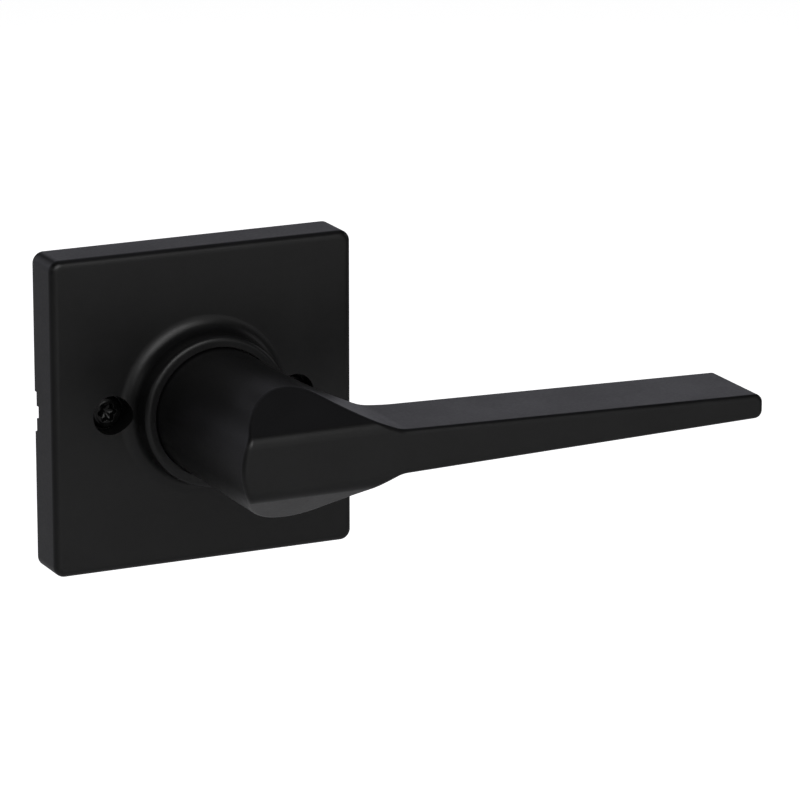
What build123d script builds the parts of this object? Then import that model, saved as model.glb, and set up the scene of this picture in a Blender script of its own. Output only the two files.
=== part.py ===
from build123d import *
import math
import os

# Inside half of a tubular door lever set: a lever on a square rose, with its return-spring chassis.
# Millimetres. X runs along the door, Y points into the door, Z is up. The origin is on the spindle
# axis, in the plane of the door's face, so all that is outside the door has a negative y.

# --- Rose -----------------------------------------------------------------------------------------
ROSE_SIZE = 66.0
ROSE_DEPTH = 10.0
ROSE_WALL = 1.8
ROSE_FRONT_WALL = 2.0
ROSE_CORNER_RADIUS = 2.3
ROSE_EDGE_RADIUS = 1.5
COVE_RADIUS = 3.0
COLLAR_RADIUS = 15.8
COLLAR_FRONT = -17.0
COLLAR_RIM_RADIUS = 1.0
COLLAR_LIP = 1.6
NOTCH_WIDTH = 8.4
NOTCH_DEPTH = 0.9
NOTCH_INNER_WIDTH = 2.6
NOTCH_INNER_DEPTH = 1.9

# --- Shank, hub facets and blade of the lever -------------------------------------------------------
SHANK_RADIUS = 13.3
SHANK_GAP = 0.3
SHANK_BACK = -5.0
PROJECTION = 60.0
FACET_CORNER_Z = 6.0
FACET_TILT = 55.5
FACET_BLEND = 3.0
RAMP_RADIUS = 75.0
BLADE_ROOT = (21.3, 4.55)
BLADE_BEND_RADIUS = 7.0
BLADE_TIP_X = 102.0
BLADE_TIP_HALF = 2.5
BLADE_TIP_CORNER = 1.7
BLADE_DEPTH = 19.5
LEVER_EDGE_RADIUS = 1.0
FLARE_RADIUS = 15.0
FLARE_START_RADIUS = 13.25
SHANK_BORE_END = -27.0

# --- Chassis: plate, cage and what holds them -------------------------------------------------------
PLATE_FRONT = -3.6
PLATE_THICKNESS = 1.5
PLATE_BACK = PLATE_FRONT + PLATE_THICKNESS
PLATE_SIZE = 61.6
PLATE_CORNER_RADIUS = 2.5
PLATE_HOLE_RADIUS = 8.6
CORNER_SCREW_OFFSET = 25.0
CORNER_SCREW_RADIUS = 1.5
CORNER_SCREW_TIP = -7.2
CORNER_POST_RADIUS = 3.2
CAGE_OUTER_RADIUS = 17.0
CAGE_SHEET = 1.0
CAGE_DEPTH = 8.2
CAGE_FLANGE_RADIUS = 23.0
CAGE_SCREW_NOTCH = 3.3
RIVET_CIRCLE = 20.0
RIVET_RADIUS = 1.5
STOP_PIN_CIRCLE = 12.6
STOP_PIN_RADIUS = 1.0
STOP_PIN_HEAD_RADIUS = 1.6
STOP_PIN_CHAMFER = 0.2
STOP_PIN_GAP = 0.2

# --- Mounting screws --------------------------------------------------------------------------------
SCREW_SPACING = 40.6
SCREW_RADIUS = 2.0
SCREW_NECK_RADIUS = 1.75
SCREW_LENGTH = 30.0
SCREW_HEAD_RADIUS = 3.5
SCREW_HEAD_TOP = -7.5
SCREW_HEAD_HEIGHT = 2.2
SCREW_HEAD_ROUND = 1.0
SCREW_TIP_CHAMFER = 0.6
SCREW_HOLE_RADIUS = 4.05
SCREW_POCKET_RADIUS = 5.25
SCREW_CLEARANCE_RADIUS = 2.25
# A six-lobe recess, as parts of its radius: its core, where its lobes are centred, and their radius.
LOBE_CORE = 0.74
LOBE_CENTRE = 0.76
LOBE_RADIUS = 0.24

# --- Turning parts ----------------------------------------------------------------------------------
HUB_FRONT = -26.0
HUB_BODY_RADIUS = 9.0
HUB_BODY_FLAT = 8.0
HUB_NECK_RADIUS = 8.0
HUB_NECK_FLAT = 6.9
HUB_END = 9.9
BROACH_SIZE = 8.1
BROACH_FRONT = -16.0
SPINDLE_SIZE = 8.0
SPINDLE_FRONT = -15.0
SPINDLE_END = 45.0
SPINDLE_EDGE = 0.5
SPINDLE_END_CHAMFER = 0.8
SPINDLE_PIN_Y = -9.0
SPINDLE_PIN_RADIUS = 1.25
SPINDLE_PIN_LENGTH = 17.4
SET_SCREW_Y = -22.0
SET_SCREW_RADIUS = 2.5
SET_SCREW_OUTER = 12.8
SET_SCREW_TIP = 8.5
SET_SCREW_CHAMFER = 0.3
RING_GROOVE_RADIUS = 7.2
RING_FRONT = 7.8
RING_THICKNESS = 0.9
RING_OUTER_RADIUS = 10.2
RING_MOUTH_ANGLE = 60.0

# --- Return spring and its driver -------------------------------------------------------------------
TRAVEL = 45.0
STOP_CLEARANCE = 1.0
DRIVER_FRONT = -1.45
DRIVER_THICKNESS = 1.2
DRIVER_RADIUS = 14.6
FINGER_INNER = 13.9
FINGER_HALF_ANGLE = 5.0
FINGER_END = 4.7
LUG_INNER = 14.9
SPRING_RADIUS = 12.8
SPRING_WIRE = 0.8
SPRING_START = 0.9
SPRING_PITCH = 1.7
SPRING_LEG_ANGLE = 9.0
SPRING_LEG_END = 15.7

# --- Running clearances and washers -----------------------------------------------------------------
RUNNING = 0.05
END_PLAY = 0.15
WASHER_THICKNESS = 1.2
THIN_WASHER = 0.5
WASHER_BORE = 8.3
WASHER_GAP = 0.2
BUSHING_RADIUS = 14.4
BUSHING_FLANGE_RADIUS = 14.9
BUSHING_BACK = -7.0
BUSHING_FLANGE = 1.0
HUB_BUSHING_RADIUS = 9.5
HUB_BUSHING_FLANGE_RADIUS = 11.2
HUB_BUSHING_FLANGE = 0.7
SPRING_WASHER_SHEET = 0.35
SPRING_WASHER_RADIUS = 10.5

# How far a cutter passes a face that it cuts through, and how near counts as the same place.
CUT = 1.0
NEAR = 0.05
# An edge's direction counts as along X, or as steep in Y, from this share of it.
PARALLEL = 0.999999
STEEP = 0.9

BLADE_BACK = -PROJECTION + BLADE_DEPTH
CAGE_BACK = PLATE_BACK + CAGE_DEPTH
CAVITY_FRONT = -ROSE_DEPTH + ROSE_FRONT_WALL
SCREW_SEAT = SCREW_HEAD_TOP + SCREW_HEAD_HEIGHT
CORNERS = [(x, z) for x in (-CORNER_SCREW_OFFSET, CORNER_SCREW_OFFSET)
           for z in (-CORNER_SCREW_OFFSET, CORNER_SCREW_OFFSET)]
SCREW_POINTS = [(-SCREW_SPACING / 2, 0), (SCREW_SPACING / 2, 0)]


# --- Shapes used by several parts -------------------------------------------------------------------
def rod(radius, y_from, y_to, at=(0, 0)):
    """A round bar along Y, centred on the point (x, z)."""
    length = y_to - y_from
    place = Pos(at[0], y_from + length / 2, at[1]) * Rot(90, 0, 0)
    return place * Cylinder(radius, length)


def tube(outer, inner, y_from, y_to, at=(0, 0)):
    """A round tube along Y."""
    return rod(outer, y_from, y_to, at) - rod(inner, y_from - CUT, y_to + CUT, at)


def slab(width, height, y_from, y_to, at=(0, 0)):
    """A rectangular block with its faces square to Y."""
    length = y_to - y_from
    return Pos(at[0], y_from + length / 2, at[1]) * Box(width, length, height)


def keyed_rod(radius, flat, y_from, y_to):
    """A round bar along Y with two flats, at x = -flat and x = +flat."""
    return rod(radius, y_from, y_to) & slab(2 * flat, 2 * radius, y_from, y_to)


def turned(points):
    """A solid of revolution about the Y axis, from (radius, y) points."""
    outline = Polyline([(x, y, 0) for x, y in points], close=True)
    return revolve(make_face(outline), Axis.Y)


def polar(radius, angle):
    """The (x, z) point at an angle from +X towards +Z."""
    return radius * math.cos(math.radians(angle)), radius * math.sin(math.radians(angle))


def ring_sector(outer, inner, middle, half_angle, y_from, y_to):
    """The part of a tube that lies within half_angle of the direction middle, in the XZ plane."""
    reach = 2 * outer
    first = polar(reach, middle - half_angle)
    last = polar(reach, middle + half_angle)
    far = polar(2 * reach, middle)
    corners = [(0, y_from, 0), (first[0], y_from, first[1])]
    corners += [(far[0], y_from, far[1]), (last[0], y_from, last[1])]
    wedge = extrude(make_face(Polyline(corners, close=True)), y_to - y_from, dir=(0, 1, 0))
    return tube(outer, inner, y_from, y_to) & wedge


# --- Fixed trim -------------------------------------------------------------------------------------
def rose_plate():
    """The square block of the rose, with its corners and front edge rounded."""
    block = slab(ROSE_SIZE, ROSE_SIZE, -ROSE_DEPTH, 0)
    block = fillet(block.edges().filter_by(Axis.Y), ROSE_CORNER_RADIUS)
    front = block.faces().sort_by(Axis.Y)[0]
    return fillet(front.edges(), ROSE_EDGE_RADIUS)


def rose_boss():
    """The collar, with a hollow cove at its foot and a rounded front rim."""
    foot = COLLAR_RADIUS + COVE_RADIUS
    cove_top = -ROSE_DEPTH - COVE_RADIUS
    rim = COLLAR_FRONT + COLLAR_RIM_RADIUS
    cove_mid = (foot - COVE_RADIUS * math.sqrt(0.5), cove_top + COVE_RADIUS * math.sqrt(0.5), 0)
    rim_mid = (COLLAR_RADIUS - COLLAR_RIM_RADIUS * (1 - math.sqrt(0.5)),
               rim - COLLAR_RIM_RADIUS * math.sqrt(0.5), 0)
    edges = [
        Line((0, CAVITY_FRONT, 0), (foot, CAVITY_FRONT, 0)),
        Line((foot, CAVITY_FRONT, 0), (foot, -ROSE_DEPTH, 0)),
        ThreePointArc((foot, -ROSE_DEPTH, 0), cove_mid, (COLLAR_RADIUS, cove_top, 0)),
        Line((COLLAR_RADIUS, cove_top, 0), (COLLAR_RADIUS, rim, 0)),
        ThreePointArc((COLLAR_RADIUS, rim, 0), rim_mid, (COLLAR_RADIUS - COLLAR_RIM_RADIUS, COLLAR_FRONT, 0)),
        Line((COLLAR_RADIUS - COLLAR_RIM_RADIUS, COLLAR_FRONT, 0), (0, COLLAR_FRONT, 0)),
        Line((0, COLLAR_FRONT, 0), (0, CAVITY_FRONT, 0)),
    ]
    return revolve(make_face(edges), Axis.Y)


def rose():
    """Hollow die-cast rose: shell, boss, screw pockets, corner posts and the notch in its left edge."""
    inner = ROSE_SIZE - 2 * ROSE_WALL
    body = rose_plate() - slab(inner, inner, CAVITY_FRONT, CUT)
    body += rose_boss()
    for point in SCREW_POINTS:
        body += rod(SCREW_POCKET_RADIUS, CAVITY_FRONT, PLATE_FRONT, point)
    for point in CORNERS:
        body += rod(CORNER_POST_RADIUS, CAVITY_FRONT, PLATE_FRONT, point)
    body -= rod(SHANK_RADIUS + SHANK_GAP, COLLAR_FRONT - CUT, PLATE_FRONT)
    body -= rod(BUSHING_RADIUS, COLLAR_FRONT + COLLAR_LIP, PLATE_FRONT)
    for point in SCREW_POINTS:
        body -= rod(SCREW_HOLE_RADIUS, COLLAR_FRONT, SCREW_SEAT, point)
        body -= rod(SCREW_CLEARANCE_RADIUS, SCREW_SEAT - CUT, CUT, point)
    for point in CORNERS:
        body -= rod(CORNER_SCREW_RADIUS, CORNER_SCREW_TIP, CUT, point)
    left = (-ROSE_SIZE / 2, 0)
    body -= slab(2 * ROSE_WALL + CUT, NOTCH_WIDTH, -NOTCH_DEPTH, CUT, left)
    body -= slab(2 * ROSE_WALL + CUT, NOTCH_INNER_WIDTH, -NOTCH_INNER_DEPTH, CUT, left)
    return body


def collar_bushing():
    """Nylon sleeve in the collar that the shank turns in."""
    bore = SHANK_RADIUS + RUNNING
    sleeve = tube(BUSHING_RADIUS, bore, COLLAR_FRONT + COLLAR_LIP, BUSHING_BACK)
    flange = tube(BUSHING_FLANGE_RADIUS, bore, BUSHING_BACK - BUSHING_FLANGE, BUSHING_BACK)
    return sleeve + flange


def mounting_plate():
    """Steel plate in the back of the rose, which carries the spring cage and the stop pins."""
    plate = slab(PLATE_SIZE, PLATE_SIZE, PLATE_FRONT, PLATE_BACK)
    plate = fillet(plate.edges().filter_by(Axis.Y), PLATE_CORNER_RADIUS)
    holes = [(PLATE_HOLE_RADIUS, (0, 0))]
    holes += [(SCREW_CLEARANCE_RADIUS, point) for point in SCREW_POINTS]
    holes += [(CORNER_SCREW_RADIUS, point) for point in CORNERS]
    holes += [(RIVET_RADIUS, point) for point in rivet_points()]
    holes += [(STOP_PIN_RADIUS, point) for point in stop_pin_points()]
    for radius, point in holes:
        plate -= rod(radius, PLATE_FRONT - CUT, PLATE_BACK + CUT, point)
    return plate


def plate_screws():
    """Pan-head screws that hold the plate to the corner posts."""
    head_radius = 2.8
    head_height = 1.5
    screws = []
    for point in CORNERS:
        head = rod(head_radius, PLATE_BACK, PLATE_BACK + head_height, point)
        head = fillet(head.edges().sort_by(Axis.Y)[-1], head_height / 2)
        shank = rod(CORNER_SCREW_RADIUS, CORNER_SCREW_TIP, PLATE_BACK, point)
        slot = six_lobe(head_radius / 2, PLATE_BACK + head_height / 3, PLATE_BACK + 2 * head_height, point)
        screws.append(head + shank - slot)
    return Compound(children=screws)


def rivet_points():
    return [polar(RIVET_CIRCLE, angle) for angle in (45, 135, 225, 315)]


def cage_rivets():
    """Rivets through the plate and the cage's flange."""
    head_radius = 2.5
    head_height = 0.8
    flange_back = PLATE_BACK + CAGE_SHEET
    rivets = []
    for point in rivet_points():
        rivet = rod(head_radius, PLATE_FRONT - head_height, PLATE_FRONT, point)
        rivet += rod(RIVET_RADIUS, PLATE_FRONT, flange_back, point)
        rivet += rod(head_radius, flange_back, flange_back + head_height, point)
        rim = rivet.edges().filter_by(GeomType.CIRCLE).group_by(Axis.Y)
        rivets.append(fillet([rim[0][0], rim[-1][0]], head_height / 2))
    return Compound(children=rivets)


def stop_pin_points():
    return [polar(STOP_PIN_CIRCLE, angle) for angle in (0, 180)]


def stop_pins():
    """Pins riveted in the plate, which end the driver's travel both ways."""
    end = DRIVER_FRONT + DRIVER_THICKNESS + END_PLAY
    pins = []
    for point in stop_pin_points():
        head = rod(STOP_PIN_HEAD_RADIUS, PLATE_FRONT - THIN_WASHER, PLATE_FRONT, point)
        pin = rod(STOP_PIN_RADIUS, PLATE_FRONT, end, point)
        pins.append(head + chamfer(pin.edges().sort_by(Axis.Y)[-1], STOP_PIN_CHAMFER))
    return Compound(children=pins)


def thrust_washer():
    """Nylon washer between the shank's end and the plate."""
    outer = STOP_PIN_CIRCLE - STOP_PIN_HEAD_RADIUS - WASHER_GAP
    return tube(outer, WASHER_BORE, PLATE_FRONT - WASHER_THICKNESS, PLATE_FRONT)


def driver_washer():
    """Thin nylon washer between the plate and the driver."""
    outer = STOP_PIN_CIRCLE - STOP_PIN_RADIUS - WASHER_GAP
    return tube(outer, WASHER_BORE, PLATE_BACK, PLATE_BACK + THIN_WASHER)


def spring_cage():
    """Pressed steel cup round the spring, with a flange, and a lug between the spring's legs."""
    inner = CAGE_OUTER_RADIUS - CAGE_SHEET
    floor = CAGE_BACK - CAGE_SHEET
    cage = rod(CAGE_OUTER_RADIUS, PLATE_BACK, CAGE_BACK)
    cage = fillet(cage.edges().filter_by(GeomType.CIRCLE).sort_by(Axis.Y)[-1], CAGE_SHEET)
    cage += rod(CAGE_FLANGE_RADIUS, PLATE_BACK, PLATE_BACK + CAGE_SHEET)
    cage -= rod(inner, PLATE_BACK - CUT, floor)
    cage -= rod(HUB_BUSHING_RADIUS, floor - CUT, CAGE_BACK + CUT)
    cage += ring_sector(inner + CAGE_SHEET / 2, LUG_INNER, -90, FINGER_HALF_ANGLE, 0, floor + CAGE_SHEET / 2)
    for point in SCREW_POINTS:
        cage -= rod(CAGE_SCREW_NOTCH, PLATE_BACK - CUT, PLATE_BACK + CAGE_SHEET + CUT / 2, point)
    for point in rivet_points():
        cage -= rod(RIVET_RADIUS, PLATE_BACK - CUT, PLATE_BACK + CAGE_SHEET + CUT, point)
    return cage


def hub_bushing():
    """Flanged nylon bearing in the cage's floor."""
    bore = HUB_NECK_RADIUS + RUNNING
    sleeve = tube(HUB_BUSHING_RADIUS, bore, CAGE_BACK - 2 * CAGE_SHEET, CAGE_BACK)
    return sleeve + tube(HUB_BUSHING_FLANGE_RADIUS, bore, CAGE_BACK, CAGE_BACK + HUB_BUSHING_FLANGE)


def spring_leg(angle, y):
    """A leg of the spring: the wire turns outwards, square to the coil."""
    inner = polar(SPRING_RADIUS, angle)
    direction = polar(1, angle)
    length = SPRING_LEG_END - SPRING_RADIUS
    leg_plane = Plane(origin=(inner[0], y, inner[1]), z_dir=(direction[0], 0, direction[1]))
    return leg_plane * Pos(0, 0, length / 2) * Cylinder(SPRING_WIRE, length)


def return_spring():
    """Torsion spring: nearly two turns of round wire, with its legs at the bottom."""
    turns = 2 - 2 * SPRING_LEG_ANGLE / 360
    height = turns * SPRING_PITCH
    helix = Helix(SPRING_PITCH, height, SPRING_RADIUS)
    section = Plane(origin=helix @ 0, z_dir=helix % 0) * Circle(SPRING_WIRE)
    coil = sweep(section, path=helix)
    # The helix climbs +Z from the +X side. This lays it along +Y and turns its start to the bottom.
    coil = Pos(0, SPRING_START, 0) * Rot(0, 90 - SPRING_LEG_ANGLE, 0) * Rot(-90, 0, 0) * coil
    first = spring_leg(-90 + SPRING_LEG_ANGLE, SPRING_START)
    last = spring_leg(-90 - SPRING_LEG_ANGLE, SPRING_START + height)
    return coil + first + last


def six_lobe(radius, y_from, y_to, at):
    """The cutter for a six-lobe driving recess."""
    cutter = rod(LOBE_CORE * radius, y_from, y_to, at)
    for index in range(6):
        lobe = polar(LOBE_CENTRE * radius, 60 * index)
        cutter += rod(LOBE_RADIUS * radius, y_from, y_to, (at[0] + lobe[0], at[1] + lobe[1]))
    return cutter


def mounting_screws():
    """Pan-head through-screws: six-lobe recess, plain neck as far as the door, then thread."""
    recess_radius = 2.0
    recess_depth = 1.5
    screws = []
    for point in SCREW_POINTS:
        head = rod(SCREW_HEAD_RADIUS, SCREW_HEAD_TOP, SCREW_SEAT, point)
        head = fillet(head.edges().filter_by(GeomType.CIRCLE).sort_by(Axis.Y)[0], SCREW_HEAD_ROUND)
        neck = rod(SCREW_NECK_RADIUS, SCREW_SEAT, 0, point)
        thread = rod(SCREW_RADIUS, 0, SCREW_SEAT + SCREW_LENGTH, point)
        thread = chamfer(thread.edges().filter_by(GeomType.CIRCLE).sort_by(Axis.Y)[-1], SCREW_TIP_CHAMFER)
        recess = six_lobe(recess_radius, SCREW_HEAD_TOP - CUT, SCREW_HEAD_TOP + recess_depth, point)
        screws.append(head + neck + thread - recess)
    return Compound(children=screws)


# --- Turning parts ----------------------------------------------------------------------------------
def ramp_angle():
    """Where the ramp leaves the shank's circle: its arc is tangent there and ends at the blade's root."""
    root_reach = math.hypot(*BLADE_ROOT)
    centre_reach = SHANK_RADIUS + RAMP_RADIUS
    cosine = (root_reach ** 2 + centre_reach ** 2 - RAMP_RADIUS ** 2) / (2 * root_reach * centre_reach)
    return math.degrees(math.atan2(BLADE_ROOT[1], BLADE_ROOT[0]) + math.acos(cosine))


def lever_outline(y):
    """The lever seen along its axis: round hub, concave ramps, tapering blade and rounded tip."""
    leave = ramp_angle()
    start = polar(SHANK_RADIUS, leave)
    centre = polar(SHANK_RADIUS + RAMP_RADIUS, leave)
    root_x, root_half = BLADE_ROOT
    toward_start = math.atan2(start[1] - centre[1], start[0] - centre[0])
    toward_root = math.atan2(root_half - centre[1], root_x - centre[0])
    middle = (toward_start + toward_root) / 2
    ramp_mid = (centre[0] + RAMP_RADIUS * math.cos(middle), centre[1] + RAMP_RADIUS * math.sin(middle))

    def at(x, z):
        return (x, y, z)

    return [
        ThreePointArc(at(*start), at(-SHANK_RADIUS, 0), at(start[0], -start[1])),
        ThreePointArc(at(start[0], -start[1]), at(ramp_mid[0], -ramp_mid[1]), at(root_x, -root_half)),
        Line(at(root_x, -root_half), at(BLADE_TIP_X, -BLADE_TIP_HALF)),
        Line(at(BLADE_TIP_X, -BLADE_TIP_HALF), at(BLADE_TIP_X, BLADE_TIP_HALF)),
        Line(at(BLADE_TIP_X, BLADE_TIP_HALF), at(root_x, root_half)),
        ThreePointArc(at(root_x, root_half), at(*ramp_mid), at(*start)),
    ]


def round_uprights(prism, x, radius):
    """Rounds the edges of a prism that run along Y at the given x."""
    uprights = [edge for edge in prism.edges().filter_by(Axis.Y) if abs(edge.center().X - x) < NEAR]
    return fillet(uprights, radius)


def lever_prism(y_from, y_to):
    """The lever's outline as a prism, with the blade's bends and tip corners rounded."""
    prism = extrude(make_face(lever_outline(y_from)), y_to - y_from, dir=(0, 1, 0))
    prism = round_uprights(prism, BLADE_ROOT[0], BLADE_BEND_RADIUS)
    return round_uprights(prism, BLADE_TIP_X, BLADE_TIP_CORNER)


def front_profile():
    """The lever's front as a prism along X: a flat between two facets that slope back, blended."""
    reach = 2 * SHANK_RADIUS
    slope_back = (reach - FACET_CORNER_Z) * math.tan(math.radians(FACET_TILT))
    start = -SHANK_RADIUS - CUT
    points = [
        (start, -PROJECTION, -FACET_CORNER_Z),
        (start, -PROJECTION, FACET_CORNER_Z),
        (start, -PROJECTION + slope_back, reach),
        (start, PROJECTION, reach),
        (start, PROJECTION, -reach),
        (start, -PROJECTION + slope_back, -reach),
    ]
    face = make_face(Polyline(points, close=True))
    prism = extrude(face, BLADE_TIP_X + SHANK_RADIUS + 2 * CUT, dir=(1, 0, 0))
    corners = [edge for edge in prism.edges().filter_by(Axis.X) if edge.center().Y < NEAR - PROJECTION]
    return fillet(corners, FACET_BLEND)


def back_flare():
    """All that lies in front of the blade's back plane and of the cove that joins it to the shank."""
    front = -PROJECTION - 2 * CUT
    reach = BLADE_TIP_X + 2 * CUT
    cove_foot = FLARE_START_RADIUS + FLARE_RADIUS
    cove_end = BLADE_BACK + FLARE_RADIUS
    cove_mid = (cove_foot - FLARE_RADIUS * math.sqrt(0.5), cove_end - FLARE_RADIUS * math.sqrt(0.5), 0)
    edges = [
        Line((0, front, 0), (reach, front, 0)),
        Line((reach, front, 0), (reach, BLADE_BACK, 0)),
        Line((reach, BLADE_BACK, 0), (cove_foot, BLADE_BACK, 0)),
        ThreePointArc((cove_foot, BLADE_BACK, 0), cove_mid, (FLARE_START_RADIUS, cove_end, 0)),
        Line((FLARE_START_RADIUS, cove_end, 0), (0, cove_end, 0)),
        Line((0, cove_end, 0), (0, front, 0)),
    ]
    return revolve(make_face(edges), Axis.Y)


def lever():
    """Die-cast lever: shank, faceted hub and blade in one piece, bored for the drive hub."""
    handle = lever_prism(-PROJECTION - CUT, BLADE_BACK + FLARE_RADIUS) & back_flare()
    handle += rod(SHANK_RADIUS, -PROJECTION - CUT, SHANK_BACK)
    handle = handle & front_profile()
    handle = fillet([edge for edge in handle.edges() if is_front_rim(edge)], LEVER_EDGE_RADIUS)
    handle -= keyed_rod(HUB_BODY_RADIUS + RUNNING, HUB_BODY_FLAT + RUNNING, SHANK_BORE_END, SHANK_BACK + CUT)
    wall = SHANK_RADIUS - HUB_BODY_FLAT
    return handle - Pos(0, SET_SCREW_Y, -SHANK_RADIUS) * Cylinder(SET_SCREW_RADIUS, 2 * wall)


def is_front_rim(edge):
    """True for an edge of the lever's front face, other than the blends between its facets."""
    tangent = edge % 0.5
    along_blend = edge.geom_type == GeomType.LINE and abs(tangent.X) > PARALLEL
    behind = (edge @ 0.5).Y > BLADE_BACK - CUT
    upright = abs(tangent.Y) > STEEP
    return not (along_blend or behind or upright)


def drive_hub():
    """Steel hub: keyed body in the lever, two-flat neck through the chassis, square broach."""
    hub = keyed_rod(HUB_BODY_RADIUS, HUB_BODY_FLAT, HUB_FRONT, SHANK_BACK)
    hub += keyed_rod(HUB_NECK_RADIUS, HUB_NECK_FLAT, SHANK_BACK, HUB_END)
    hub -= slab(BROACH_SIZE, BROACH_SIZE, BROACH_FRONT, HUB_END + CUT)
    groove_back = RING_FRONT + RING_THICKNESS + RUNNING
    hub -= tube(HUB_BODY_RADIUS, RING_GROOVE_RADIUS, RING_FRONT - RUNNING, groove_back)
    hub -= Pos(0, SPINDLE_PIN_Y, 0) * Cylinder(SPINDLE_PIN_RADIUS, 3 * HUB_BODY_RADIUS)
    dimple = HUB_BODY_RADIUS - SET_SCREW_TIP
    return hub - Pos(0, SET_SCREW_Y, -HUB_BODY_RADIUS) * Cylinder(SET_SCREW_RADIUS, 2 * dimple)


def lever_set_screw():
    """Headless socket screw in the underside of the shank, with its end in a dimple of the hub."""
    socket_size = 2.5
    socket_depth = 2.0
    length = SET_SCREW_OUTER - SET_SCREW_TIP
    middle = -(SET_SCREW_OUTER + SET_SCREW_TIP) / 2
    screw = Pos(0, SET_SCREW_Y, middle) * Cylinder(SET_SCREW_RADIUS, length)
    screw = chamfer(screw.edges().filter_by(GeomType.CIRCLE), SET_SCREW_CHAMFER)
    socket = extrude(RegularPolygon(socket_size / 2, 6, major_radius=False), socket_depth)
    return screw - Pos(0, SET_SCREW_Y, -SET_SCREW_OUTER) * socket


def spring_driver():
    """Disc keyed to the hub, with two slots for the stop pins and a finger between the spring's legs."""
    back = DRIVER_FRONT + DRIVER_THICKNESS
    driver = rod(DRIVER_RADIUS, DRIVER_FRONT, back)
    driver += ring_sector(DRIVER_RADIUS, FINGER_INNER, -90, FINGER_HALF_ANGLE, DRIVER_FRONT, FINGER_END)
    driver -= keyed_rod(HUB_NECK_RADIUS + RUNNING, HUB_NECK_FLAT + RUNNING, DRIVER_FRONT - CUT, back + CUT)
    slot_half_width = STOP_PIN_RADIUS + STOP_PIN_GAP
    pin_half_angle = math.degrees(slot_half_width / STOP_PIN_CIRCLE)
    half_angle = TRAVEL + pin_half_angle + STOP_CLEARANCE
    outer = STOP_PIN_CIRCLE + slot_half_width
    inner = STOP_PIN_CIRCLE - slot_half_width
    for middle in (0, 180):
        driver -= ring_sector(outer, inner, middle, half_angle, DRIVER_FRONT - CUT, back + CUT)
    return driver


def spring_washer():
    """Dished washer between the rear bearing and the retaining ring."""
    front = CAGE_BACK + HUB_BUSHING_FLANGE + END_PLAY
    back = RING_FRONT
    inner = WASHER_BORE
    outer = SPRING_WASHER_RADIUS
    section = [(inner, back - SPRING_WASHER_SHEET), (outer, front), (outer, front + SPRING_WASHER_SHEET)]
    return turned(section + [(inner, back)])


def retaining_ring():
    """Open ring that snaps into the hub's groove."""
    inner = RING_GROOVE_RADIUS + RUNNING
    back = RING_FRONT + RING_THICKNESS
    ring = tube(RING_OUTER_RADIUS, inner, RING_FRONT, back)
    half_mouth = RING_MOUTH_ANGLE / 2
    return ring - ring_sector(RING_OUTER_RADIUS + CUT, inner - CUT, -90, half_mouth, RING_FRONT, back)


def spindle():
    """Square bar from the hub to the latch and the outside half."""
    bar = slab(SPINDLE_SIZE, SPINDLE_SIZE, SPINDLE_FRONT, SPINDLE_END)
    bar = chamfer(bar.edges().filter_by(Axis.Y), SPINDLE_EDGE)
    bar = chamfer(bar.faces().sort_by(Axis.Y)[-1].edges(), SPINDLE_END_CHAMFER)
    return bar - Pos(0, SPINDLE_PIN_Y, 0) * Cylinder(SPINDLE_PIN_RADIUS, 2 * SPINDLE_SIZE)


def spindle_pin():
    """Slotted spring pin through the hub and the spindle."""
    wall = 0.45
    slit = 0.4
    pin = Cylinder(SPINDLE_PIN_RADIUS, SPINDLE_PIN_LENGTH)
    pin -= Cylinder(SPINDLE_PIN_RADIUS - wall, SPINDLE_PIN_LENGTH)
    pin -= Pos(SPINDLE_PIN_RADIUS, 0, 0) * Box(2 * SPINDLE_PIN_RADIUS, slit, SPINDLE_PIN_LENGTH)
    return Pos(0, SPINDLE_PIN_Y, 0) * pin


PARTS = [
    rose, collar_bushing, mounting_plate, plate_screws, thrust_washer, driver_washer, spring_cage,
    cage_rivets, stop_pins, hub_bushing, return_spring, mounting_screws,
    lever, drive_hub, lever_set_screw, spring_driver, spring_washer, retaining_ring, spindle, spindle_pin,
]

os.makedirs("parts", exist_ok=True)
for part in PARTS:
    export_step(part(), f"parts/{part.__name__}.step")
    print("wrote", part.__name__)
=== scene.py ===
import math

import bmesh
import bpy
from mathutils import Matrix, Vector


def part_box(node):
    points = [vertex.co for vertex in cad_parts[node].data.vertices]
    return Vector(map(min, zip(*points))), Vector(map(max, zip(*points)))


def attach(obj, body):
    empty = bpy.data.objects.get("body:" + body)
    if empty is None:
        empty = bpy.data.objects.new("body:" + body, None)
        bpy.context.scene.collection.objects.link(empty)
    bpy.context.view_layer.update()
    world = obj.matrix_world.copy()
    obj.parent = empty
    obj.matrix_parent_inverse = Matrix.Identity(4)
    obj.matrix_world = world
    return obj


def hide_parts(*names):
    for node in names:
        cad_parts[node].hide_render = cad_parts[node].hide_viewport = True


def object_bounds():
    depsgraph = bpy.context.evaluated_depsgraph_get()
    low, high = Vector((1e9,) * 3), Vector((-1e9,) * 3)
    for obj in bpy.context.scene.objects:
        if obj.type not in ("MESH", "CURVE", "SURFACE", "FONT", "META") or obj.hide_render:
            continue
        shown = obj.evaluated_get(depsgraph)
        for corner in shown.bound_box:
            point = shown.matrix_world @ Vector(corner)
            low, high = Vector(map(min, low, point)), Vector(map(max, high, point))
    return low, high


# Looks of the inside half of a door lever set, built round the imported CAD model.
# Metres. X runs along the door, Y points into the door, Z is up.

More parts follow.
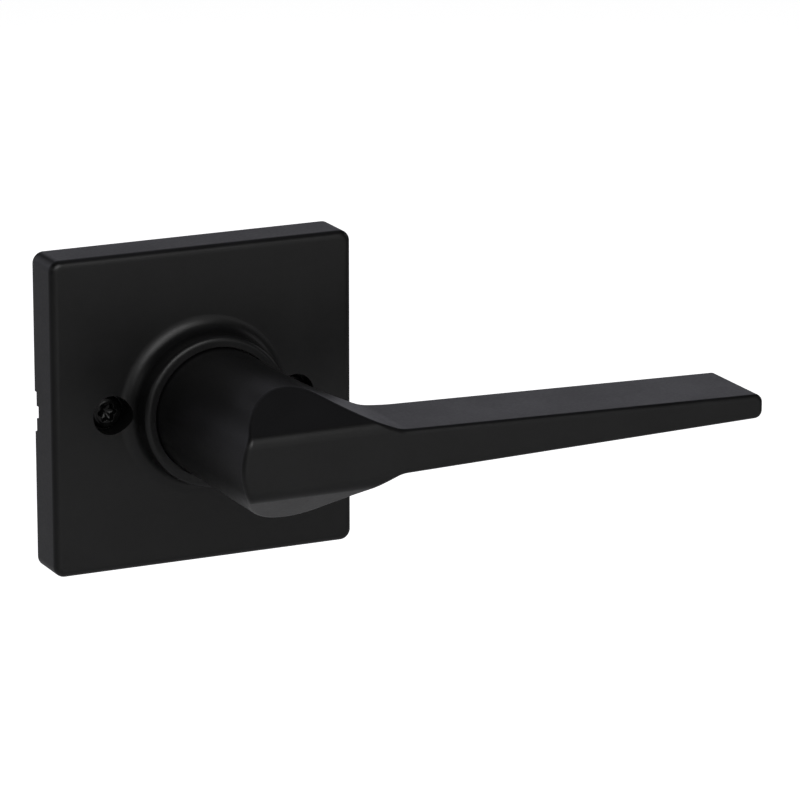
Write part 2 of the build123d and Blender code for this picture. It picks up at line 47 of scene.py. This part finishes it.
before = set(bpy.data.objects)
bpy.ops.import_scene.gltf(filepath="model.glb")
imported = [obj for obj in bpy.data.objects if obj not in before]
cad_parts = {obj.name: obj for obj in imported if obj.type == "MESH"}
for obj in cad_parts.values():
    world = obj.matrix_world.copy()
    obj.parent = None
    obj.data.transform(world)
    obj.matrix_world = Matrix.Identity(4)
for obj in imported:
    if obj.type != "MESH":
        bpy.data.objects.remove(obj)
cad_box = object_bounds()

MM = 0.001

# --- Camera ---------------------------------------------------------------------------------------
CAMERA_AZIMUTH = -25.33
CAMERA_ELEVATION = 15.26
CAMERA_DISTANCE = 1.0653
CAMERA_LENS = 236.6
CAMERA_RISE = 1.8 * MM

# --- Studio ---------------------------------------------------------------------------------------
FLOOR_SIZE = 16.0
FLOOR_DROP = 0.25
FLOOR_COLOUR = (0.77, 0.77, 0.77, 1)
FLOOR_GLOW = 0.01
FLOOR_SHOWN_GLOW = 0.9
WORLD_GLOW = 0.02
BACKDROP = 1.0
# The softboxes behind the object are a little cool.
COOL_LIGHT = (0.99, 0.985, 1.09)
SOFTBOX_DISTANCE = 1.6
# name: azimuth and elevation (degrees), width and height (metres), radiance
SOFTBOXES = {
    "key_low": (-10, 27, 1.3, 0.65, 2.3),
    "key_wide": (-10, 42, 1.3, 0.9, 3.01),
    "key_right": (15, 40, 0.9, 0.8, 0.6),
    "front_left": (-45, 20, 0.7, 0.7, 1.37),
    "front": (5, 6, 1.6, 0.9, 0.79),
    "front_right": (35, 0, 0.7, 0.4, 0.61),
    "back_left": (-145, 22, 1.2, 0.8, 0.55),
    "back_high": (180, 45, 1.2, 0.8, 0.3),
    "back_middle": (156, 23, 0.9, 0.6, 0.38),
    "back_right": (138, 14, 0.9, 0.5, 0.14),
    "left": (-120, 2, 0.9, 0.5, 0.55),
    "low_back_left": (-165, 0, 1.2, 0.5, 0.36),
    "low_back_right": (165, 0, 1.2, 0.5, 0.23),
    "side_left": (-88, 22, 0.9, 0.6, 0.7),
    "side_right": (90, 20, 0.9, 0.6, 0.8),
    "top": (120, 75, 1.0, 1.0, 0.2),
}

# --- Materials ------------------------------------------------------------------------------------
EDGE_SOFTNESS = 0.15 * MM
BEVEL_SAMPLES = 4
DRIFT_DETAIL = 4.0
GRAIN_DETAIL = 2.0
# The values that a noise, and the sum of two of them, mostly lie between.
NOISE_RANGE = (0.35, 0.65)
SUM_RANGE = (0.75, 1.25)

# --- Pieces ---------------------------------------------------------------------------------------
SEGMENTS = 48
RINGS_PER_PITCH = 10
HEAD_STEPS = 8
SHARP_ANGLE = 38
LOBE_MEAN = 0.86
TOOTH_STEEPNESS = 1.25
TOOTH_ROOT = 0.12
# A screw's recess from the inside out: shares of its radius, with shares of its depth or of the crown.
RECESS_FLOOR = [(0, 1.35), (0.3, 1.22)]
RECESS_WALL = [(0.8, 1.0), (0.92, 0.9), (0.96, 0.75)]
RECESS_RIM = [(1.0, 1.0), (1.06, 0.2)]
RECESS_LAND = (1.1, 0.1)
CROWN_MIDWAY = 0.45
# A tubular rivet: its dome's arc in degrees, and depths as shares of the dome's height.
DOME_ARC = 75
DOME_STEPS = 7
DOME_DEPTH = 0.75
RIM_DEPTH = 0.9
ROLL_STEPS = 12
ROLL_DEPTH = 0.45
# The radius under the rivet's head, as a share of the head's.
UNDER_HEAD = 0.97
# The rivet's hollow end: shares of the head's radius, with depths from its end as shares of the dome.
HOLLOW_END = [(0.5, 0.9), (0.45, 2.2), (0, 2.6)]


# --- Placing --------------------------------------------------------------------------------------
def aim(obj, target):
    """Turns a camera or a light to look at a point."""
    obj.rotation_euler = (Vector(target) - obj.location).to_track_quat("-Z", "Y").to_euler()


def around(centre, azimuth, elevation, distance):
    """A point round a centre: azimuth 0 is in front of the door (-Y), and 90 is on the +X side."""
    a, e = math.radians(azimuth), math.radians(elevation)
    away = Vector((math.sin(a) * math.cos(e), -math.cos(a) * math.cos(e), math.sin(e)))
    return Vector(centre) + away * distance


def object_middle():
    """The middle of what stands out of the door."""
    low, high = cad_box
    return Vector(((low.x + high.x) / 2, low.y / 2, 0))


def make_camera():
    """A long lens on the middle of the trim, from the left and a little above."""
    target = object_middle() + Vector((0, 0, CAMERA_RISE))
    data = bpy.data.cameras.new("camera")
    data.lens = CAMERA_LENS
    camera = bpy.data.objects.new("camera", data)
    bpy.context.scene.collection.objects.link(camera)
    camera.location = around(target, CAMERA_AZIMUTH, CAMERA_ELEVATION, CAMERA_DISTANCE)
    aim(camera, target)
    bpy.context.scene.camera = camera


# --- Node helpers ---------------------------------------------------------------------------------
def node(tree, kind, inputs=None, **settings):
    """A new node with its settings, and inputs given as values or as sockets to link from."""
    made = tree.nodes.new("ShaderNode" + kind)
    for name, value in settings.items():
        setattr(made, name, value)
    for key, value in (inputs or {}).items():
        if isinstance(value, bpy.types.NodeSocket):
            tree.links.new(value, made.inputs[key])
        else:
            made.inputs[key].default_value = value
    return made


# --- Studio ---------------------------------------------------------------------------------------
def for_the_eye(tree, plain, shown):
    """A strength that is brighter where the camera looks straight at it than in the light it gives."""
    seen = node(tree, "LightPath").outputs["Is Camera Ray"]
    return node(tree, "MapRange", {"Value": seen, "To Min": plain, "To Max": shown}).outputs[0]


def make_floor():
    """A wide pale floor below the object."""
    bpy.ops.mesh.primitive_plane_add(size=FLOOR_SIZE, location=(0, 0, cad_box[0].z - FLOOR_DROP))
    floor = bpy.context.object
    floor.name = "floor"
    material = bpy.data.materials.new("pale_floor")
    material.use_nodes = True
    tree = material.node_tree
    tree.nodes.clear()
    lit = node(tree, "BsdfDiffuse", {"Color": FLOOR_COLOUR}).outputs[0]
    strength = for_the_eye(tree, FLOOR_GLOW, FLOOR_SHOWN_GLOW)
    glow = node(tree, "Emission", {"Strength": strength}).outputs[0]
    both = node(tree, "AddShader", {0: lit, 1: glow}).outputs[0]
    node(tree, "OutputMaterial", {"Surface": both})
    floor.data.materials.append(material)


def make_world():
    """A dim even glow all round, and a pale backdrop."""
    world = bpy.data.worlds.new("studio")
    bpy.context.scene.world = world
    world.use_nodes = True
    tree = world.node_tree
    tree.nodes.clear()
    strength = for_the_eye(tree, WORLD_GLOW, BACKDROP)
    glow = node(tree, "Background", {"Color": (1, 1, 1, 1), "Strength": strength}).outputs[0]
    node(tree, "OutputWorld", {"Surface": glow})


def make_softbox(name, azimuth, elevation, width, height, radiance):
    """A rectangular area light that faces the object, with the given radiance."""
    data = bpy.data.lights.new(name, "AREA")
    data.shape = "RECTANGLE"
    data.size = width
    data.size_y = height
    data.energy = radiance * math.pi * width * height
    stands_behind = abs(azimuth) > 90
    if stands_behind:
        data.color = COOL_LIGHT
    light = bpy.data.objects.new("softbox_" + name, data)
    bpy.context.scene.collection.objects.link(light)
    light.visible_camera = False
    light.location = around(object_middle(), azimuth, elevation, SOFTBOX_DISTANCE)
    aim(light, object_middle())


def make_studio():
    """The floor, the backdrop and the softboxes."""
    make_floor()
    make_world()
    for name, values in SOFTBOXES.items():
        make_softbox(name, *values)
    bpy.context.scene.view_settings.view_transform = "Standard"


# --- Materials ------------------------------------------------------------------------------------
def noise(tree, place, size, detail):
    """Noise with spots of about the given size."""
    return node(tree, "TexNoise", {"Vector": place, "Scale": 1 / size, "Detail": detail}).outputs["Fac"]


def surface(name, tones, rough, drift_size, grain_size, depth, stretch=(1, 1, 1), metal=0.0, specular=0.5):
    """A material whose colour and roughness drift slowly, with a fine grain and softened edges.

    tones and rough run from low to high. depth is how far the grain stands out. stretch draws the
    grain out along the axes where it is under 1, for drawn or rolled metal.
    """
    material = bpy.data.materials.new(name)
    material.use_nodes = True
    tree = material.node_tree
    shader = tree.nodes["Principled BSDF"]
    shader.inputs["Metallic"].default_value = metal
    shader.inputs["Specular IOR Level"].default_value = specular
    place = node(tree, "TexCoord").outputs["Object"]
    along = node(tree, "Mapping", {"Vector": place, "Scale": stretch}).outputs[0]
    drift = noise(tree, place, drift_size, DRIFT_DETAIL)
    grain = noise(tree, along, grain_size, GRAIN_DETAIL)
    both = node(tree, "Math", {0: drift, 1: grain}, operation="ADD").outputs[0]
    ramp = node(tree, "ValToRGB", {"Fac": drift})
    for element, tone, position in zip(ramp.color_ramp.elements, tones, NOISE_RANGE):
        element.color = (*tone, 1)
        element.position = position
    sheen = node(tree, "MapRange", {"Value": both, "From Min": SUM_RANGE[0], "From Max": SUM_RANGE[1],
                                    "To Min": rough[0], "To Max": rough[1]})
    edge = node(tree, "Bevel", {"Radius": EDGE_SOFTNESS}, samples=BEVEL_SAMPLES)
    bump = node(tree, "Bump", {"Height": grain, "Distance": depth, "Normal": edge.outputs[0]})
    tree.links.new(ramp.outputs[0], shader.inputs["Base Color"])
    tree.links.new(sheen.outputs[0], shader.inputs["Roughness"])
    tree.links.new(bump.outputs[0], shader.inputs["Normal"])
    return material


def black_powder_coat():
    """Satin black powder coat on the die castings, with a fine orange peel."""
    return surface("satin_black_powder_coat", tones=[(0.0022, 0.0022, 0.0023), (0.0034, 0.0034, 0.0036)],
                   rough=(0.33, 0.39), drift_size=12 * MM, grain_size=0.7 * MM, depth=0.0012 * MM,
                   specular=0.25)


def black_screw_coat():
    """Thin black coat on the steel screws, glossier than the castings."""
    return surface("black_screw_coat", tones=[(0.001, 0.001, 0.001), (0.0025, 0.0025, 0.0025)],
                   rough=(0.13, 0.24), drift_size=2 * MM, grain_size=0.3 * MM, depth=0.004 * MM,
                   specular=0.15)


def natural_nylon():
    """Moulded natural nylon, slightly milky."""
    material = surface("natural_nylon", tones=[(0.70, 0.68, 0.61), (0.80, 0.78, 0.72)],
                       rough=(0.38, 0.52), drift_size=5 * MM, grain_size=0.25 * MM, depth=0.004 * MM)
    shader = material.node_tree.nodes["Principled BSDF"]
    shader.inputs["Subsurface Weight"].default_value = 0.2
    shader.inputs["Subsurface Radius"].default_value = (0.8 * MM, 0.7 * MM, 0.6 * MM)
    shader.inputs["Subsurface Scale"].default_value = 1.0
    return material


def black_nylon():
    """Moulded black nylon, filled with a solid lubricant."""
    return surface("black_nylon", tones=[(0.004, 0.004, 0.004), (0.008, 0.008, 0.008)],
                   rough=(0.4, 0.55), drift_size=4 * MM, grain_size=0.25 * MM, depth=0.004 * MM)


def zinc_plate():
    """Zinc-plated pressed steel, with rolling marks along X and a faint drift between warm and cool."""
    return surface("zinc_plated_steel", tones=[(0.57, 0.585, 0.60), (0.69, 0.68, 0.645)],
                   rough=(0.26, 0.42), drift_size=9 * MM, grain_size=0.25 * MM, depth=0.004 * MM,
                   stretch=(0.12, 1, 1), metal=1.0)


def turned_steel():
    """Bright turned steel, with fine tool rings along its axis."""
    return surface("bright_turned_steel", tones=[(0.50, 0.50, 0.51), (0.60, 0.60, 0.60)],
                   rough=(0.20, 0.34), drift_size=6 * MM, grain_size=0.22 * MM, depth=0.004 * MM,
                   stretch=(0.08, 1, 0.08), metal=1.0)


def drawn_steel():
    """Zinc-plated drawn bar, with draw marks along Y."""
    return surface("zinc_plated_drawn_steel", tones=[(0.57, 0.58, 0.59), (0.68, 0.67, 0.64)],
                   rough=(0.24, 0.40), drift_size=7 * MM, grain_size=0.2 * MM, depth=0.004 * MM,
                   stretch=(1, 0.06, 1), metal=1.0)


def spring_steel():
    """Dark oiled spring steel."""
    return surface("oiled_spring_steel", tones=[(0.15, 0.145, 0.14), (0.27, 0.26, 0.245)],
                   rough=(0.22, 0.38), drift_size=4 * MM, grain_size=0.2 * MM, depth=0.003 * MM, metal=1.0)


# --- Turned and threaded pieces -------------------------------------------------------------------
def skin(rings):
    """Vertices and faces of a closed skin through rings of points. Its first and last rings are points."""
    vertices, faces, start = list(rings[0]), [], 0
    for ring, following in zip(rings, rings[1:]):
        beyond = start + len(ring)
        count = max(len(ring), len(following))
        for i in range(count):
            j = (i + 1) % count
            near = [start + i, start + j] if len(ring) > 1 else [start]
            far = [beyond + j, beyond + i] if len(following) > 1 else [beyond]
            faces.append(near + far)
        vertices += following
        start = beyond
    return vertices, faces


def turned(centre, top, into, profile):
    """Rings round an axis along Y, from (radius, depth) pairs. A radius may be a function of the angle."""
    x, z = centre
    rings = []
    for radius, depth in profile:
        y = top + into * depth
        if radius == 0:
            rings.append([(x, y, z)])
            continue
        ring = []
        for step in range(SEGMENTS):
            angle = 2 * math.pi * step / SEGMENTS
            r = radius(angle) if callable(radius) else radius
            ring.append((x + r * math.cos(angle), y, z + r * math.sin(angle)))
        rings.append(ring)
    return rings


def add_piece(name, skins, body, material, replaced):
    """One smooth-shaded mesh piece made of closed skins, in place of a CAD node."""
    vertices, faces = [], []
    for skin_vertices, skin_faces in skins:
        first = len(vertices)
        vertices += skin_vertices
        faces += [[first + index for index in face] for face in skin_faces]
    mesh = bpy.data.meshes.new(name)
    mesh.from_pydata(vertices, [], faces)
    build = bmesh.new()
    build.from_mesh(mesh)
    bmesh.ops.recalc_face_normals(build, faces=build.faces)
    build.to_mesh(mesh)
    build.free()
    mesh.shade_smooth()
    mesh.set_sharp_from_angle(angle=math.radians(SHARP_ANGLE))
    mesh.materials.append(material)
    piece = bpy.data.objects.new(name, mesh)
    bpy.context.scene.collection.objects.link(piece)
    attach(piece, body)
    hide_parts(replaced)


def six_lobe(radius):
    """The outline of a six-lobe recess, as a radius at each angle."""
    return lambda angle: radius * (LOBE_MEAN + (1 - LOBE_MEAN) * math.cos(6 * angle))


def thread_radius(size, depth):
    """The radius of a screw's thread at each angle, at one depth: a helix that starts and ends softly."""
    from_start = depth - size["thread_start"]
    to_tip = size["length"] - depth
    fade = max(0.0, min(1.0, from_start / size["pitch"]))
    limit = size["thread"] - max(0.0, size["tip_chamfer"] - to_tip)

    def radius(angle):
        phase = (from_start / size["pitch"] - angle / (2 * math.pi)) % 1
        tooth = max(0.0, min(1.0, TOOTH_STEEPNESS * (1 - abs(2 * phase - 1)) - TOOTH_ROOT))
        crest = size["root"] + fade * (size["thread"] - size["root"]) * tooth
        return min(limit, crest)

    return radius


def screw_recess(recess, depth, crown):
    """(radius, depth) pairs of a six-lobe recess, from the middle of its floor to the land round it."""
    floor = [(radius * recess, down * depth) for radius, down in RECESS_FLOOR]
    wall = [(six_lobe(radius * recess), down * depth) for radius, down in RECESS_WALL]
    rim = [(six_lobe(radius * recess), down * crown) for radius, down in RECESS_RIM]
    return floor + wall + rim + [(RECESS_LAND[0] * recess, RECESS_LAND[1] * crown)]


def screw_profile(size):
    """(radius, depth) pairs of a pan-head screw with a six-lobe recess, from recess to tip."""
    edge, crown, head = size["head_edge"], size["crown"], size["head"]
    profile = screw_recess(size["recess"], size["recess_depth"], crown)
    shoulder = head - edge
    profile.append(((shoulder + profile[-1][0]) / 2, CROWN_MIDWAY * crown))
    for step in range(HEAD_STEPS + 1):
        turn = math.radians(90 * step / HEAD_STEPS)
        profile.append((shoulder + edge * math.sin(turn), crown + edge * (1 - math.cos(turn))))
    under = size["head_height"]
    start = size["thread_start"]
    profile += [(head, under - crown), (head - crown, under), (size["neck"], under), (size["neck"], start)]
    threaded = size["length"] - start
    count = round(threaded / size["pitch"] * RINGS_PER_PITCH)
    for step in range(count + 1):
        deep = start + threaded * step / count
        profile.append((thread_radius(size, deep), deep))
    return profile + [(0, size["length"])]


def rivet_dome(head, dome):
    """(radius, depth) pairs of a rivet's domed head, from its middle to its rim."""
    arc = math.radians(DOME_ARC)
    profile = [(0, 0)]
    for step in range(1, DOME_STEPS + 1):
        turn = arc * step / DOME_STEPS
        profile.append((head * math.sin(turn) / math.sin(arc), DOME_DEPTH * dome * (1 - math.cos(turn))))
    return profile + [(head, RIM_DEPTH * dome), (UNDER_HEAD * head, dome)]


def rivet_roll(head, shank, dome, length):
    """(radius, depth) pairs of a rivet's rolled-over end, and of the hollow inside it."""
    rise = ROLL_DEPTH * dome
    profile = []
    for step in range(ROLL_STEPS + 1):
        turn = math.radians(180 * step / ROLL_STEPS)
        bulge = (head - shank) / 2 * (1 - math.cos(turn))
        profile.append((head - bulge, length - rise + rise * math.sin(turn)))
    return profile + [(radius * head, length - up * dome) for radius, up in HOLLOW_END]


def side_pair(name, reach):
    """The centres of two like things at the left and right of a CAD node's box."""
    low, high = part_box(name)
    middle = (low.z + high.z) / 2
    return [(low.x + reach, middle), (high.x - reach, middle)]


def four_corners(name, reach):
    """The centres of four like things at the corners of a CAD node's box."""
    low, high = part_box(name)
    return [(x, z) for x in (low.x + reach, high.x - reach) for z in (low.z + reach, high.z - reach)]


def mounting_screws(material):
    """The two through-screws, with domed heads, drive recesses and real threads."""
    low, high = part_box("mounting_screws")
    size = {"head": 3.5 * MM, "head_height": 2.2 * MM, "head_edge": 1.0 * MM, "crown": 0.15 * MM,
            "recess": 2.0 * MM, "recess_depth": 1.4 * MM, "neck": 1.75 * MM, "thread_start": -low.y,
            "thread": 2.0 * MM, "root": 1.57 * MM, "pitch": 0.7 * MM, "tip_chamfer": 0.6 * MM,
            "length": high.y - low.y}
    centres = side_pair("mounting_screws", size["head"])
    skins = [skin(turned(centre, low.y, 1, screw_profile(size))) for centre in centres]
    add_piece("through_screws", skins, "trim", material, "mounting_screws")


def plate_screws(material):
    """The four small screws that hold the plate to the rose."""
    low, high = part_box("plate_screws")
    size = {"head": 2.8 * MM, "head_height": 1.5 * MM, "head_edge": 0.75 * MM, "crown": 0.1 * MM,
            "recess": 1.4 * MM, "recess_depth": 0.95 * MM, "neck": 1.45 * MM, "thread_start": 3.0 * MM,
            "thread": 1.5 * MM, "root": 1.2 * MM, "pitch": 0.6 * MM, "tip_chamfer": 0.4 * MM,
            "length": high.y - low.y}
    centres = four_corners("plate_screws", size["head"])
    skins = [skin(turned(centre, high.y, -1, screw_profile(size))) for centre in centres]
    add_piece("corner_screws", skins, "trim", material, "plate_screws")


def cage_rivets(material):
    """The four tubular rivets: domed in front, rolled over a hollow end at the back."""
    low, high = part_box("cage_rivets")
    head = 2.5 * MM
    shank = 1.5 * MM
    dome = 0.8 * MM
    length = high.y - low.y
    profile = rivet_dome(head, dome) + [(shank, dome), (shank, length - dome)]
    profile += rivet_roll(head, shank, dome, length)
    centres = four_corners("cage_rivets", head)
    skins = [skin(turned(centre, low.y, 1, profile)) for centre in centres]
    add_piece("tubular_rivets", skins, "trim", material, "cage_rivets")


def give(material, *names):
    """Gives CAD nodes a material."""
    for name in names:
        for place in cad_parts[name].material_slots:
            place.material = material


# --- The object -----------------------------------------------------------------------------------
def dress():
    """Finishes every CAD node, and adds the detailed fasteners in place of the plain ones."""
    coat = black_screw_coat()
    zinc = zinc_plate()
    give(black_powder_coat(), "rose", "lever")
    give(coat, "lever_set_screw")
    give(black_nylon(), "collar_bushing")
    give(natural_nylon(), "thrust_washer", "driver_washer", "hub_bushing")
    give(zinc, "mounting_plate", "spring_cage", "spring_driver")
    give(turned_steel(), "drive_hub", "stop_pins")
    give(drawn_steel(), "spindle")
    give(spring_steel(), "return_spring", "spring_washer", "retaining_ring", "spindle_pin")
    mounting_screws(coat)
    plate_screws(zinc)
    cage_rivets(zinc)


make_camera()
make_studio()
dress()
